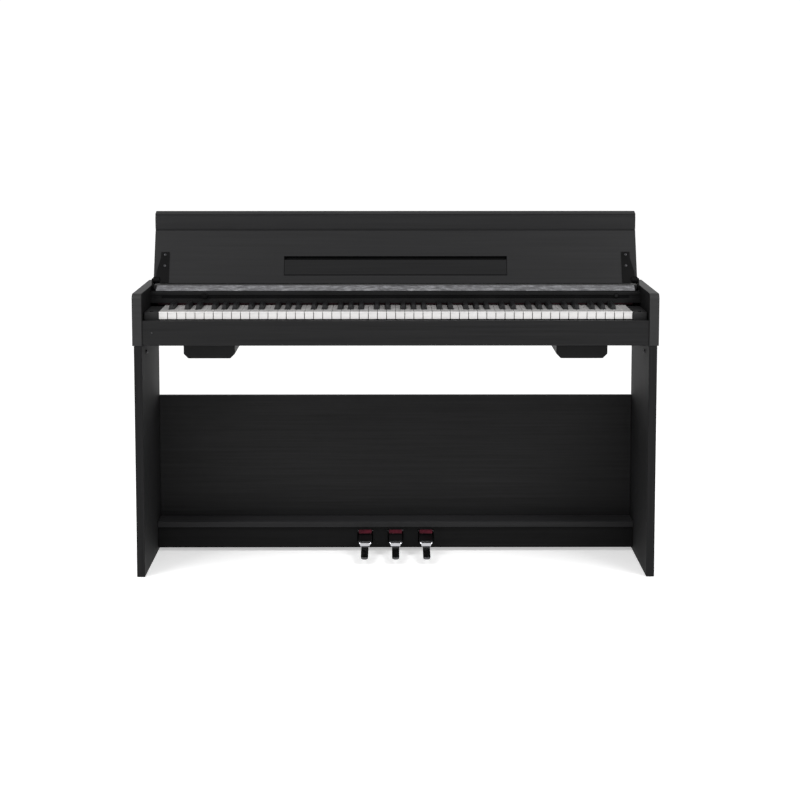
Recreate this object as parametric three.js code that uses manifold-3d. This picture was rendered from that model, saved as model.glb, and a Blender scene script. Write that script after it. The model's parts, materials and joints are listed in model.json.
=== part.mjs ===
// A home digital piano on its own wooden stand, lid open, built from separate boards, keys and fittings.
// Millimetres, +Z up, front towards -Y. The origin is on the floor under the middle of the piano.
// Inside the exported group, pieces are placed by X, by depth behind the front edge (Y), and by height (Z).
import * as THREE from 'three';
import { mergeVertices } from 'three/addons/utils/BufferGeometryUtils.js';
import Module from 'manifold-3d';

const wasm = await Module();
wasm.setup();

// ---- driving dimensions ----
const GAP = 0.3;
const DEPTH = 360;
const INNER = 650;
const LEG_THICK = 21;
const ARM_THICK = 25;
const BED_BOTTOM = 604;
const ARM_TOP = 739;
const BOARD = 15;

const BACK_TOP = 421;
const SHELF_FRONT = 268;
const SHELF_TOP = 84;
const SHELF_BOTTOM = 69;
const KICK_FRONT = 278;
const KICK_BOTTOM = 10;

const KEY_PITCH = 23.5;
const KEY_GAP = 1;
const KEY_COUNT = 88;
const WHITE_COUNT = 52;
const WHITE_FRONT = 35;
const WHITE_TOP = 689;
const WHITE_BOTTOM = 670;
const TAIL_START = 186;
const WHITE_TAIL_TOP = 680;
const WHITE_END = 286;
const BLACK_FRONT = 85;
const BLACK_BACK = 178;
const BLACK_TOP = 701;
const BLACK_WIDTH = 12.5;
const BLACK_SLOT = 15.5;
const BLACK_END = 272;
const BLACK_TAIL_BOTTOM = 683;

const LID_HALF = 645;
const LID_AXIS = { depth: 220, height: 752 };
const LID_LEAN = THREE.MathUtils.degToRad(23.5);
const LID_FACE = -2;
const LID_LENGTH = 139;
const REST_HALF = 297;
const REST_LOW = 12.5;
const REST_HIGH = 66.5;

const PEDAL_SPACING = 83;
const PEDAL_AXIS = { depth: 330, height: 45 };
const SPEAKER_IN = 417;
const SPEAKER_OUT = 550;
const SPEAKER_BOTTOM = 564;

// ---- finishes ----
const finish = (color, roughness, metalness = 0) => ({ color, roughness, metalness });
const BLACK_BOARD = finish(0x1c1c1d, 0.55);
const BLACK_PLASTIC = finish(0x141415, 0.45);
const GREY_FABRIC = finish(0x6b6b6c, 0.9);
const WHITE_KEY = finish(0xe9e8e4, 0.25);
const BLACK_KEY = finish(0x0b0b0c, 0.35);
const RED_FELT = finish(0x7c1826, 1);
const CHROME = finish(0xd8d8da, 0.12, 1);
const STEEL = finish(0x55565a, 0.4, 1);
const CIRCUIT = finish(0x1c5a34, 0.6);

const piano = new THREE.Group();
piano.position.y = -DEPTH / 2;

// ---- shape helpers ----
const ALONG_X = new THREE.Matrix4().makeBasis(
  new THREE.Vector3(0, 1, 0),
  new THREE.Vector3(0, 0, 1),
  new THREE.Vector3(1, 0, 0),
);

function add(name, geometry, look, parent = piano) {
  const mesh = new THREE.Mesh(geometry, new THREE.MeshStandardMaterial(look));
  mesh.name = name;
  parent.add(mesh);
  return mesh;
}

function block(x0, x1, y0, y1, z0, z1) {
  const geometry = new THREE.BoxGeometry(x1 - x0, y1 - y0, z1 - z0);
  return geometry.translate((x0 + x1) / 2, (y0 + y1) / 2, (z0 + z1) / 2);
}

function outline(points) {
  return new THREE.Shape(points.map(([a, b]) => new THREE.Vector2(a, b)));
}

// A side profile in (depth, height), swept from x0 to x1.
function sweepX(shape, x0, x1, steps = 6) {
  const geometry = new THREE.ExtrudeGeometry(shape, {
    depth: x1 - x0, bevelEnabled: false, curveSegments: steps,
  });
  return geometry.applyMatrix4(ALONG_X).translate(x0, 0, 0);
}

// A plan outline in (x, depth), raised from z0 to z1.
function raise(shape, z0, z1, steps = 8) {
  const geometry = new THREE.ExtrudeGeometry(shape, {
    depth: z1 - z0, bevelEnabled: false, curveSegments: steps,
  });
  return geometry.translate(0, 0, z0);
}

// A front outline in (x, height), thickened from y0 back to y1.
function thicken(shape, y0, y1, steps = 8) {
  const geometry = new THREE.ExtrudeGeometry(shape, {
    depth: y1 - y0, bevelEnabled: false, curveSegments: steps,
  });
  return geometry.rotateX(Math.PI / 2).translate(0, y1, 0);
}

function rodX(radius, x0, x1, y, z, sides = 20) {
  const geometry = new THREE.CylinderGeometry(radius, radius, x1 - x0, sides);
  return geometry.rotateZ(Math.PI / 2).translate((x0 + x1) / 2, y, z);
}

function rodY(radius, x, y0, y1, z, sides = 20) {
  const geometry = new THREE.CylinderGeometry(radius, radius, y1 - y0, sides);
  return geometry.translate(0, (y0 + y1) / 2, 0).translate(x, 0, z);
}

function solid(geometry) {
  const bare = geometry.clone();
  bare.deleteAttribute('normal');
  bare.deleteAttribute('uv');
  const merged = mergeVertices(bare, 1e-4);
  return new wasm.Manifold(new wasm.Mesh({
    numProp: 3,
    vertProperties: new Float32Array(merged.attributes.position.array),
    triVerts: new Uint32Array(merged.index.array),
  }));
}

function geometryOf(manifold) {
  const mesh = manifold.getMesh();
  const geometry = new THREE.BufferGeometry();
  geometry.setAttribute('position', new THREE.BufferAttribute(new Float32Array(mesh.vertProperties), 3));
  geometry.setIndex(new THREE.BufferAttribute(new Uint32Array(mesh.triVerts), 1));
  return geometry;
}

function cut(base, ...tools) {
  return geometryOf(tools.reduce((whole, tool) => whole.subtract(solid(tool)), solid(base)));
}

function join(...pieces) {
  return geometryOf(pieces.map(solid).reduce((whole, piece) => whole.add(piece)));
}

function common(a, b) {
  return geometryOf(solid(a).intersect(solid(b)));
}

// A span on one side of the piano, as [low x, high x]: side is -1 on the left and 1 on the right.
const span = (side, near, far) => (side < 0 ? [-far, -near] : [near, far]);
const SIDES = [['left', -1], ['right', 1]];

// ---- stand ----
function armProfile() {
  const corner = 14;
  const shape = new THREE.Shape();
  shape.moveTo(0, BED_BOTTOM + GAP);
  shape.lineTo(DEPTH, BED_BOTTOM + GAP);
  shape.lineTo(DEPTH, ARM_TOP);
  shape.lineTo(corner, ARM_TOP);
  shape.absarc(corner, ARM_TOP - corner, corner, Math.PI / 2, Math.PI, false);
  shape.closePath();
  return shape;
}

function buildSides() {
  for (const [word, side] of SIDES) {
    const [legLow, legHigh] = span(side, INNER, INNER + LEG_THICK);
    add(`${word}_leg_panel`, block(legLow, legHigh, 0, DEPTH, 0, BED_BOTTOM), BLACK_BOARD);
    const [armLow, armHigh] = span(side, INNER, INNER + ARM_THICK);
    add(`${word}_arm`, sweepX(armProfile(), armLow, armHigh), BLACK_BOARD);
  }
}

// A round-headed bolt on the inner face of each leg, just under the keybed.
function buildLegBolts() {
  const [headRadius, headHeight, depth, height] = [5, 4, 85, 579];
  for (const [word, side] of SIDES) {
    const [low, high] = span(side, INNER - GAP - headHeight, INNER - GAP);
    add(`${word}_leg_bolt`, rodX(headRadius, low, high, depth, height, 16), STEEL);
  }
}

function buildBackAndShelf() {
  const edge = INNER - GAP;
  add('back_panel', block(-edge, edge, DEPTH - BOARD, DEPTH, KICK_BOTTOM, BACK_TOP), BLACK_BOARD);
  const shelf = block(-edge, edge, SHELF_FRONT, DEPTH - BOARD - GAP, SHELF_BOTTOM, SHELF_TOP);
  add('pedal_shelf', shelf, BLACK_BOARD);
  const kick = block(-edge, edge, KICK_FRONT, KICK_FRONT + BOARD, KICK_BOTTOM, SHELF_BOTTOM - GAP);
  const slots = pedalCentres().map((x) => pedalSlot(x));
  add('pedal_box_front', cut(kick, ...slots), BLACK_BOARD);
}

function pedalSlot(x) {
  const [halfWidth, low, high, reach] = [21, 24, 60, 5];
  return block(x - halfWidth, x + halfWidth, KICK_FRONT - reach, KICK_FRONT + BOARD + reach, low, high);
}

// ---- pedals ----
const pedalCentres = () => [-PEDAL_SPACING, 0, PEDAL_SPACING];

// Seen from above: a broad root with round shoulders, then a straight finger with a round tip.
function pedalPlan() {
  const [root, finger, tip, shoulder] = [19, 10, 122, 223];
  const shape = new THREE.Shape();
  shape.moveTo(root, PEDAL_AXIS.depth + 10);
  shape.lineTo(root, shoulder + 6);
  shape.quadraticCurveTo(root, shoulder, finger + 3, shoulder - 3);
  shape.quadraticCurveTo(finger, shoulder - 5, finger, shoulder - 16);
  shape.lineTo(finger, tip + finger);
  shape.absarc(0, tip + finger, finger, 0, -Math.PI, true);
  shape.lineTo(-finger, shoulder - 16);
  shape.quadraticCurveTo(-finger, shoulder - 5, -finger - 3, shoulder - 3);
  shape.quadraticCurveTo(-root, shoulder, -root, shoulder + 6);
  shape.lineTo(-root, PEDAL_AXIS.depth + 10);
  shape.closePath();
  return shape;
}

// Seen from the side: nearly level to the shoulders, a rounded step down, then a gentle fall to the tip.
function pedalSide() {
  const { depth, height } = PEDAL_AXIS;
  const shape = new THREE.Shape();
  shape.moveTo(depth + 10, height - 8);
  shape.lineTo(depth + 10, height + 8);
  shape.lineTo(depth - 33, height + 1);
  shape.lineTo(226, 41);
  shape.quadraticCurveTo(214, 40, 213, 31);
  shape.quadraticCurveTo(165, 24.5, 118, 21);
  shape.lineTo(118, 14.5);
  shape.quadraticCurveTo(165, 17.5, 213, 24);
  shape.quadraticCurveTo(240, 31, depth - 45, 32);
  shape.lineTo(depth - 10, height - 8);
  shape.closePath();
  return shape;
}

function buildPedals() {
  const names = ['soft_pedal', 'sostenuto_pedal', 'damper_pedal'];
  const body = common(raise(pedalPlan(), 0, 100, 7), sweepX(pedalSide(), -30, 30, 5));
  const bore = rodX(4.4, -40, 40, PEDAL_AXIS.depth, PEDAL_AXIS.height, 16);
  const pedal = cut(body, bore);
  pedalCentres().forEach((x, i) => {
    add(names[i], pedal, CHROME).position.x = x;
  });
}

// A steel bracket under the shelf carries one rod that all three pedals turn on.
function buildPedalBracket() {
  const [reach, ear, plate] = [PEDAL_SPACING + 37, 4, 3];
  const top = SHELF_BOTTOM - GAP;
  const { depth, height } = PEDAL_AXIS;
  const cap = block(-reach - ear, reach + ear, depth - 20, depth + 14, top - plate, top);
  const ears = SIDES.map(([, side]) => {
    const [low, high] = span(side, reach, reach + ear);
    return block(low, high, depth - 12, depth + 12, height - 12, top - plate / 2);
  });
  const bore = rodX(4 + GAP, -reach - ear - 5, reach + ear + 5, depth, height, 16);
  add('pedal_bracket', cut(join(cap, ...ears), bore), STEEL);
  add('pedal_pivot_rod', rodX(4, -reach - ear - 2, reach + ear + 2, depth, height, 16), CHROME);
}

// ---- keyboard case ----
const SLIP_FRONT = 3;
const SLIP_BACK = 18;
const SLIP_TOP = 669;
const BED_TOP = BED_BOTTOM + 12;
const FASCIA_FRONT = 182;
const FASCIA_BACK = 188;
const FASCIA_LOW = 694;
const FASCIA_HIGH = 727;
const STRIP_BACK = 213;
const COVER_THICK = 12;

function slipProfile() {
  const [big, small] = [6, 2];
  const shape = new THREE.Shape();
  shape.moveTo(SLIP_BACK, BED_BOTTOM + GAP);
  shape.lineTo(SLIP_BACK, SLIP_TOP);
  shape.lineTo(SLIP_FRONT + small, SLIP_TOP);
  shape.absarc(SLIP_FRONT + small, SLIP_TOP - small, small, Math.PI / 2, Math.PI, false);
  shape.lineTo(SLIP_FRONT, BED_BOTTOM + GAP + big);
  shape.absarc(SLIP_FRONT + big, BED_BOTTOM + GAP + big, big, Math.PI, Math.PI * 1.5, false);
  shape.closePath();
  return shape;
}

function buildCase() {
  const edge = INNER - GAP;
  add('key_slip', sweepX(slipProfile(), -edge, edge), BLACK_BOARD);
  add('keybed', block(-edge, edge, SLIP_BACK + GAP, DEPTH, BED_BOTTOM + GAP, BED_TOP), BLACK_BOARD);
  const [coverFront, coverBack] = [STRIP_BACK + GAP, DEPTH - BOARD - GAP];
  const cover = block(-LID_HALF, LID_HALF, coverFront, coverBack, ARM_TOP - COVER_THICK, ARM_TOP);
  add('top_cover', cover, BLACK_BOARD);
  const rear = block(-edge, edge, DEPTH - BOARD, DEPTH, BED_TOP + GAP, ARM_TOP);
  add('rear_cover', cut(rear, jackWindow()), BLACK_BOARD);
}

function buildKeyBlocks() {
  const [front, back, high, wall] = [36, 180, 687, 1];
  const inner = WHITE_COUNT * KEY_PITCH / 2 + 1;
  for (const [word, side] of SIDES) {
    const [low, far] = span(side, inner, INNER - GAP - wall);
    add(`${word}_key_block`, block(low, far, front, back, BED_TOP + GAP, high), BLACK_PLASTIC);
  }
}

// The upright board behind the keys has a window for the volume knob and one for the power button.
function buildFascia() {
  const edge = INNER - GAP;
  const board = block(-edge, edge, FASCIA_FRONT, FASCIA_BACK, FASCIA_LOW, FASCIA_HIGH);
  const knobHole = rodY(KNOB.stem + 0.5, KNOB.x, FASCIA_FRONT - 5, FASCIA_BACK + 5, KNOB.z, 16);
  const buttonHole = rodY(BUTTON.radius + 0.5, BUTTON.x, FASCIA_FRONT - 5, FASCIA_BACK + 5, BUTTON.z, 20);
  add('fascia_panel', cut(board, knobHole, buttonHole), BLACK_PLASTIC);
  const felt = block(-edge + 20, edge - 20, FASCIA_FRONT, FASCIA_BACK, FASCIA_LOW - 3, FASCIA_LOW - GAP);
  add('key_felt_strip', felt, RED_FELT);
}

// The pale speaker-cloth strip slopes up from the fascia to the top cover.
function buildGrilleStrip() {
  const thick = 6;
  const profile = outline([
    [FASCIA_BACK + GAP, FASCIA_HIGH + 1 - thick],
    [STRIP_BACK, ARM_TOP - thick],
    [STRIP_BACK, ARM_TOP],
    [FASCIA_BACK + 2, FASCIA_HIGH + 1],
    [FASCIA_BACK + GAP, FASCIA_HIGH],
  ]);
  add('grille_strip', sweepX(profile, -636, 636), GREY_FABRIC);
}

// ---- controls ----
const KNOB = { x: -506, z: 714, radius: 8, stem: 3, length: 11 };
const BUTTON = { x: 585, z: 714, radius: 5, length: 9, proud: 3 };

function buildControls() {
  const face = rodY(KNOB.radius, KNOB.x, FASCIA_FRONT - KNOB.length, FASCIA_FRONT - 1, KNOB.z, 24);
  const stem = rodY(KNOB.stem, KNOB.x, FASCIA_FRONT - 2, FASCIA_BACK + 6, KNOB.z, 16);
  const mark = block(KNOB.x - 0.6, KNOB.x + 0.6, FASCIA_FRONT - KNOB.length - 1,
    FASCIA_FRONT - KNOB.length + 1, KNOB.z + 2, KNOB.z + KNOB.radius + 1);
  add('volume_knob', cut(join(face, stem), mark), BLACK_PLASTIC);
  const front = FASCIA_FRONT - BUTTON.proud;
  const button = rodY(BUTTON.radius, BUTTON.x, front, front + BUTTON.length, BUTTON.z, 20);
  add('power_button', button, BLACK_PLASTIC);
}

// ---- speakers ----
function speakerFront(margin) {
  const chamfer = 12;
  const [low, high] = [SPEAKER_IN + margin, SPEAKER_OUT - margin];
  const bottom = SPEAKER_BOTTOM + margin;
  const top = margin > 0 ? BED_BOTTOM + 5 : BED_BOTTOM;
  return outline([
    [low, top], [low, bottom + chamfer], [low + chamfer, bottom],
    [high - chamfer, bottom], [high, bottom + chamfer], [high, top],
  ]);
}

function driverProfile() {
  return [
    [0, 14], [18, 14], [18, 24], [34, 28], [46, 31], [46, 34], [33, 34], [14, 21], [8, 24], [0, 25],
  ].map(([r, h]) => new THREE.Vector2(r, h));
}

function buildSpeakers() {
  const [front, back, wall, middle] = [60, 260, 5, 160];
  const centre = (SPEAKER_IN + SPEAKER_OUT) / 2;
  for (const [word, side] of SIDES) {
    const shell = thicken(speakerFront(0), front, back);
    const hollow = thicken(speakerFront(wall), front + wall, back - wall);
    const mouth = new THREE.CylinderGeometry(40, 40, 20, 32).rotateX(Math.PI / 2);
    mouth.translate(centre, middle, SPEAKER_BOTTOM);
    const tub = cut(shell, hollow, mouth);
    if (side < 0) tub.rotateZ(Math.PI).translate(0, front + back, 0);
    add(`${word}_speaker_box`, tub, BLACK_PLASTIC);
    const driver = new THREE.LatheGeometry(driverProfile(), 32).rotateX(-Math.PI / 2);
    driver.translate(side * centre, middle, SPEAKER_BOTTOM + wall + GAP + 34);
    add(`${word}_speaker_driver`, driver, STEEL);
  }
}

// ---- electronics ----
const JACK = { low: -560, high: -380, z0: 640, z1: 680 };

function jackWindow() {
  const [front, back] = [DEPTH - BOARD - 5, DEPTH + 5];
  return block(JACK.low - GAP, JACK.high + GAP, front, back, JACK.z0 - GAP, JACK.z1 + GAP);
}

// The rear connector plate: two headphone sockets, a pedal socket and the power inlet's seat.
function buildElectronics() {
  const [inset, thick, socketRadius, inletRadius] = [5, 4, 4.5, 6];
  const face = DEPTH - inset;
  const middle = (JACK.z0 + JACK.z1) / 2;
  const plate = block(JACK.low, JACK.high, face - thick, face, JACK.z0, JACK.z1);
  const sockets = [20, 50, 90].map((x) => rodY(socketRadius, JACK.low + x, face - 9, face + 5, middle, 16));
  const inletX = JACK.low + 140;
  const seat = rodY(inletRadius + GAP, inletX, face - 9, face + 5, middle, 20);
  add('jack_panel', cut(plate, ...sockets, seat), BLACK_PLASTIC);
  const barrel = rodY(inletRadius, inletX, face - 14, face + 1, middle, 20);
  const well = rodY(3.2, inletX, face - 9, face + 2, middle, 16);
  add('power_inlet', cut(barrel, well), BLACK_PLASTIC);
  const board = block(-420, 120, DEPTH - BOARD - 12, DEPTH - BOARD - 10, BED_TOP + 30, BED_TOP + 100);
  add('main_circuit_board', board, CIRCUIT);
}

// ---- keys ----
// Moulded frame under the keys: a base, a front guide rail and a rear rail that the keys hinge on.
function buildKeyFrame() {
  const half = WHITE_COUNT * KEY_PITCH / 2;
  const base = block(-half, half, 45, 300, BED_TOP + GAP, BED_TOP + 6);
  const guide = block(-half, half, 52, 64, BED_TOP + 3, 655);
  const rail = block(-half, half, 282, 300, BED_TOP + 3, 665);
  add('key_frame', join(base, guide, rail), BLACK_PLASTIC);
}

// For each note of the scale from C: is it black, and how far its middle stands from the crack it covers.
const SCALE = [
  { note: 'c' }, { note: 'c_sharp', shift: -2.5 },
  { note: 'd' }, { note: 'd_sharp', shift: 2.5 },
  { note: 'e' },
  { note: 'f' }, { note: 'f_sharp', shift: -3.5 },
  { note: 'g' }, { note: 'g_sharp', shift: 0 },
  { note: 'a' }, { note: 'a_sharp', shift: 3.5 },
  { note: 'b' },
];
const FIRST_NOTE = 9;

// Every key from the left: its name, octave, colour and place.
function layOutKeys() {
  const left = -WHITE_COUNT * KEY_PITCH / 2;
  const keys = [];
  let whites = 0;
  for (let i = 0; i < KEY_COUNT; i += 1) {
    const { note, shift } = SCALE[(i + FIRST_NOTE) % SCALE.length];
    const octave = Math.floor((i + FIRST_NOTE) / SCALE.length);
    const black = shift !== undefined;
    const x = black ? left + whites * KEY_PITCH + shift : left + (whites + 0.5) * KEY_PITCH;
    keys.push({ name: `${note}${octave}`, octave, black, x });
    whites += black ? 0 : 1;
  }
  return keys;
}

// A white key: full width at the front, narrower beside its black neighbours, with a low tail.
function whiteKey(key, blacks) {
  const half = (KEY_PITCH - KEY_GAP) / 2;
  const near = blacks.filter((b) => Math.abs(b.x - key.x) < KEY_PITCH);
  const reach = (side) => {
    const neighbour = near.find((b) => (b.x - key.x) * side > 0);
    return neighbour ? Math.abs(neighbour.x - key.x) - BLACK_SLOT / 2 : half;
  };
  const [left, right] = [reach(-1), reach(1)];
  const shoulder = BLACK_FRONT - 1;
  const head = block(key.x - half, key.x + half, WHITE_FRONT, shoulder, WHITE_BOTTOM, WHITE_TOP);
  const neck = block(key.x - left, key.x + right, shoulder - 1, TAIL_START, WHITE_BOTTOM, WHITE_TOP);
  const tail = block(key.x - left, key.x + right, TAIL_START - 1, WHITE_END, WHITE_BOTTOM, WHITE_TAIL_TOP);
  return join(head, neck, tail);
}

function blackSide() {
  const [slope, bottom, tailTop, step] = [6, 675, 690, 6];
  return outline([
    [BLACK_FRONT, bottom], [BLACK_FRONT, WHITE_TOP - 2], [BLACK_FRONT + slope, BLACK_TOP],
    [BLACK_BACK, BLACK_TOP], [BLACK_BACK, tailTop],
    [BLACK_END, tailTop], [BLACK_END, BLACK_TAIL_BOTTOM],
    [BLACK_BACK + step, BLACK_TAIL_BOTTOM], [BLACK_BACK + step, bottom],
  ]);
}

const blackKey = (key) => sweepX(blackSide(), key.x - BLACK_WIDTH / 2, key.x + BLACK_WIDTH / 2);

// Several keys of one colour, tied together behind the fascia by a bar.
function tiedKeys(keys, blacks, black) {
  const half = black ? BLACK_WIDTH / 2 : (KEY_PITCH - KEY_GAP) / 2 - 1;
  const [low, high] = [keys[0].x - half, keys[keys.length - 1].x + half];
  const bar = black
    ? block(low, high, BLACK_END - 10, BLACK_END, BLACK_TAIL_BOTTOM, BLACK_TAIL_BOTTOM + 7)
    : block(low, high, WHITE_END - 9, WHITE_END, WHITE_BOTTOM, WHITE_TAIL_TOP);
  const shapes = keys.map((key) => (black ? blackKey(key) : whiteKey(key, blacks)));
  return join(bar, ...shapes);
}

function buildKeys() {
  const keys = layOutKeys();
  const blacks = keys.filter((key) => key.black);
  const single = 4;
  for (const key of keys.filter((k) => k.octave === single)) {
    const geometry = key.black ? blackKey(key) : whiteKey(key, blacks);
    add(`key_${key.name}`, geometry, key.black ? BLACK_KEY : WHITE_KEY);
  }
  const groups = [['a0_to_b1', 0, 1], ['c2_to_b3', 2, 3], ['c5_to_b6', 5, 6], ['c7_to_c8', 7, 8]];
  for (const [label, first, last] of groups) {
    const inside = keys.filter((k) => k.octave >= first && k.octave <= last);
    for (const black of [false, true]) {
      const members = inside.filter((k) => k.black === black);
      const name = `${black ? 'black' : 'white'}_keys_${label}`;
      add(name, tiedKeys(members, blacks, black), black ? BLACK_KEY : WHITE_KEY);
    }
  }
}

// ---- lid ----
// The lid's own frame starts on its hinge axis: Z runs up the board and Y is behind it.
const lid = new THREE.Group();
lid.position.set(0, LID_AXIS.depth, LID_AXIS.height);
lid.rotation.x = -LID_LEAN;
piano.add(lid);

function buildLidPanel() {
  const back = LID_FACE + BOARD;
  const profile = outline([
    [LID_FACE, -10], [3, -10], [back, -6.5], [back, LID_LENGTH], [LID_FACE, LID_LENGTH],
  ]);
  const board = sweepX(profile, -LID_HALF, LID_HALF);
  const [pocketHalf, pocketDeep] = [REST_HALF + 1, 10];
  const pocket = block(-pocketHalf, pocketHalf, LID_FACE - 5, LID_FACE + pocketDeep, REST_LOW, REST_HIGH);
  const notches = SIDES.map(([, side]) => {
    const [low, high] = span(side, 628, LID_HALF + 5);
    return block(low, high, -20, 30, -20, 9.5);
  });
  add('lid_panel', cut(board, pocket, ...notches), BLACK_BOARD, lid);
}

// The lid's front bar stands upright above the leaning board, with a groove under it and one near its top.
function buildLidNose() {
  const nose = new THREE.Group();
  nose.position.set(0, LID_FACE, LID_LENGTH);
  nose.rotation.x = LID_LEAN;
  lid.add(nose);
  const shape = new THREE.Shape();
  shape.moveTo(3, -0.9);
  shape.lineTo(3, 4);
  shape.lineTo(0.5, 4);
  shape.quadraticCurveTo(-2, 20, -2, 36);
  shape.lineTo(0.5, 38);
  shape.lineTo(0.5, 42);
  shape.lineTo(-1.5, 43.5);
  shape.quadraticCurveTo(-1, 45.5, 2, 46.2);
  shape.lineTo(22, 51.5);
  shape.quadraticCurveTo(27, 52, 27, 47);
  shape.quadraticCurveTo(24, 20, 19, 5);
  shape.quadraticCurveTo(17, -2, 14, -5.6);
  shape.closePath();
  add('lid_nose', sweepX(shape, -LID_HALF, LID_HALF, 5), BLACK_BOARD, nose);
}

// Steel straps on the lid's face reach out to an eye on the hinge axis.
function buildHingeStraps() {
  const plate = [[605, 78], [627, 78], [627, 62], [638, 20], [638, -8], [605, -8]];
  const eyeHole = 3.5;
  for (const [word, side] of SIDES) {
    const face = outline(plate.map(([x, z]) => [side * x, z]));
    const strap = thicken(face, LID_FACE - GAP - 2, LID_FACE - GAP);
    const [low, high] = span(side, 636, 638);
    const eye = block(low, high, LID_FACE - GAP - 1.5, 8, -8, 8.5);
    const [boreLow, boreHigh] = span(side, 626, 645);
    const bore = rodX(eyeHole, boreLow, boreHigh, 0, 0, 16);
    add(`${word}_hinge_strap`, cut(join(strap, eye), bore), STEEL, lid);
  }
}

// Fixed plates on the arms carry the pins that the lid turns on.
function buildHingePlates() {
  const { depth, height } = LID_AXIS;
  const [plateIn, pinIn, pinRadius] = [646.5, 629.5, 3];
  const [wide, narrow, foot] = [11, 5, 35];
  const face = outline([
    [depth - wide, ARM_TOP - foot], [depth + wide, ARM_TOP - foot], [depth + wide, ARM_TOP - 2],
    [depth + narrow, height + narrow], [depth - narrow, height + narrow], [depth - wide, ARM_TOP - 2],
  ]);
  for (const [word, side] of SIDES) {
    const [low, high] = span(side, plateIn, INNER - GAP);
    const plate = sweepX(face, low, high);
    const [pinLow, pinHigh] = span(side, pinIn, plateIn + 1);
    const pin = rodX(pinRadius, pinLow, pinHigh, depth, height, 16);
    add(`${word}_hinge_plate`, join(plate, pin), STEEL);
  }
}

// The music ledge lies in the lid's pocket and turns forward about its rounded lower edge.
function buildMusicRest() {
  const radius = 3.85;
  const axis = { y: 2.15, z: 17.2 };
  const top = 56.5;
  const shape = new THREE.Shape();
  shape.moveTo(axis.y + radius, top);
  shape.lineTo(axis.y - radius, top);
  shape.lineTo(axis.y - radius, axis.z);
  shape.absarc(axis.y, axis.z, radius, Math.PI, Math.PI * 2, false);
  shape.closePath();
  add('music_rest', sweepX(shape, -REST_HALF, REST_HALF, 8), BLACK_BOARD, lid);
}

buildSides();
buildLegBolts();
buildBackAndShelf();
buildPedals();
buildPedalBracket();
buildCase();
buildKeyBlocks();
buildFascia();
buildGrilleStrip();
buildControls();
buildSpeakers();
buildElectronics();
buildKeyFrame();
buildKeys();
buildLidPanel();
buildLidNose();
buildHingeStraps();
buildHingePlates();
buildMusicRest();

const object = new THREE.Group();
object.add(piano);
export default object;
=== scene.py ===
"""Looks for the digital piano on its stand: every visible board, key, pedal and fitting."""
import json
import math

import bmesh
import bpy
from mathutils import Matrix, Vector

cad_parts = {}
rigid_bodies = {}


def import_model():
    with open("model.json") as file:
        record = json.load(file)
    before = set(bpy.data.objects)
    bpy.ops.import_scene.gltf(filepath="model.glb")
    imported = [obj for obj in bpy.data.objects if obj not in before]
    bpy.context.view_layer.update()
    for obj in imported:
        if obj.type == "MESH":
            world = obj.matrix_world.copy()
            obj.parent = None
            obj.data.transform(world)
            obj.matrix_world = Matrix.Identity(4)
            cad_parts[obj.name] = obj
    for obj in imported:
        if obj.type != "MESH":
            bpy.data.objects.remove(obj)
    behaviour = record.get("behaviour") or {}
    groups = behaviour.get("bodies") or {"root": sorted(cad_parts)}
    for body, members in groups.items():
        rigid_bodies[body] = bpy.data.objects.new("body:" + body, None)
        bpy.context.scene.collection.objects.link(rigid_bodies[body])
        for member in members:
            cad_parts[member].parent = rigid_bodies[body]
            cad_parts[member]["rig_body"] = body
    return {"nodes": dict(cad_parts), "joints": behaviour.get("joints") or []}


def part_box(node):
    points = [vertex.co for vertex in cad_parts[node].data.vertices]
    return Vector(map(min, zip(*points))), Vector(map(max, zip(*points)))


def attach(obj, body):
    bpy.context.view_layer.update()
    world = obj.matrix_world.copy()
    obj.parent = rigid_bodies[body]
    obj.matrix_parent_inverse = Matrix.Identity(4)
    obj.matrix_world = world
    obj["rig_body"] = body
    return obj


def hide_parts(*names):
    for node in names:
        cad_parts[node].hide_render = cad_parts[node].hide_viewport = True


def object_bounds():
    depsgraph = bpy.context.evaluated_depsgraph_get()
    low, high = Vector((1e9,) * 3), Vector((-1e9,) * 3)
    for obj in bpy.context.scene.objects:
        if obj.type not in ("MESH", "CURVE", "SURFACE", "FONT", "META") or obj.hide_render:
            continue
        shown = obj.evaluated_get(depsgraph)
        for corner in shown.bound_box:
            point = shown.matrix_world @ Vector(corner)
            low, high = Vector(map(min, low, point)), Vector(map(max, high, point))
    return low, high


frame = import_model()
cad_low, cad_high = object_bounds()

MM = 0.001
SIDES = {"left": -1, "right": 1}

# Turns a piece made along Z to face each way.
FACE_FRONT = Matrix.Rotation(math.pi / 2, 4, "X")
FACE_BACK = Matrix.Rotation(-math.pi / 2, 4, "X")
FACE_LEFT = Matrix.Rotation(-math.pi / 2, 4, "Y")
FACE_RIGHT = Matrix.Rotation(math.pi / 2, 4, "Y")
FACE_DOWN = Matrix.Rotation(math.pi, 4, "X")

# Camera, fitted to the outlines of the arms, legs, keys, lid, shelf and pedals.
CAMERA_PLACE = (-0.0089, -5.0407, 1.2723)
CAMERA_PITCH = 0.1062
CAMERA_YAW = 0.0041
CAMERA_LENS = 86.13
CAMERA_SHIFT_Y = -0.14

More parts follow.
